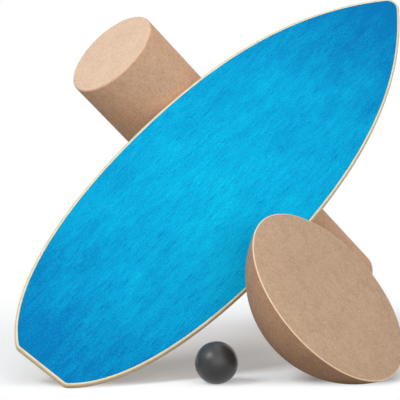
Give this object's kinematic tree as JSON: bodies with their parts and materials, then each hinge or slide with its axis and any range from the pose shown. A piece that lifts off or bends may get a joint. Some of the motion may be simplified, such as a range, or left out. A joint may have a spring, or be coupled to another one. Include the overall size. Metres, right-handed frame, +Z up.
{
  "type": "rola bola",
  "caption": "Surf-shaped plywood balance board leaning on a cork roller, with a cork half-ball and a small rubber ball, piled as a free-standing set.",
  "frame": {"origin": "on the floor, under the middle of the box round the whole set", "axes": "+Z up from the floor, +Y away from the viewer of the deck, from the half-ball towards the roller, +X to that viewer's right, from the board's tail towards its nose"},
  "size_m": [0.57, 0.7112, 0.5328],
  "materials": {
    "stained_deck": "birch veneer stained bright blue, grain showing through, satin varnish",
    "long_veneer": "pale birch veneer, grain along the board, sanded",
    "cross_veneer": "birch veneer, grain across the board, darker end grain at the edge",
    "stop_wood": "oiled beech",
    "screw_steel": "zinc-plated steel",
    "cork": "fine agglomerated cork, sanded matte",
    "ball_rubber": "matte black solid rubber"
  },
  "bodies": {
    "board": {"deck_veneer": "stained_deck", "core_veneer_5": "cross_veneer", "core_veneer_4": "long_veneer", "core_veneer_3": "cross_veneer", "core_veneer_2": "long_veneer", "core_veneer_1": "cross_veneer", "back_veneer": "long_veneer", "tail_stop_batten": "stop_wood", "nose_stop_batten": "stop_wood", "tail_stop_screw_1": "screw_steel", "tail_stop_screw_2": "screw_steel", "tail_stop_screw_3": "screw_steel", "nose_stop_screw_1": "screw_steel", "nose_stop_screw_2": "screw_steel", "nose_stop_screw_3": "screw_steel"},
    "roller": {"cork_roller": "cork"},
    "half_ball": {"cork_dome": "cork"},
    "ball": {"massage_ball": "ball_rubber"}
  },
  "joints": [
    {"name": "roller_roll", "type": "hinge", "parent": "board", "child": "roller", "pos_m": [-0.16105, 0.02952, 0.45188], "axis": [-0.6029, -0.4364, 0.6678], "continuous": true},
    {"name": "dome_rock", "type": "hinge", "parent": "board", "child": "half_ball", "pos_m": [0.18635, -0.25104, 0.1502], "axis": [0.5678, 0.8231, 0], "range_deg": [0, 19]},
    {"name": "ball_roll", "type": "hinge", "parent": "board", "child": "ball", "pos_m": [-0.00403, -0.26213, 0.03], "axis": [1, 0, 0], "continuous": true}
  ]
}
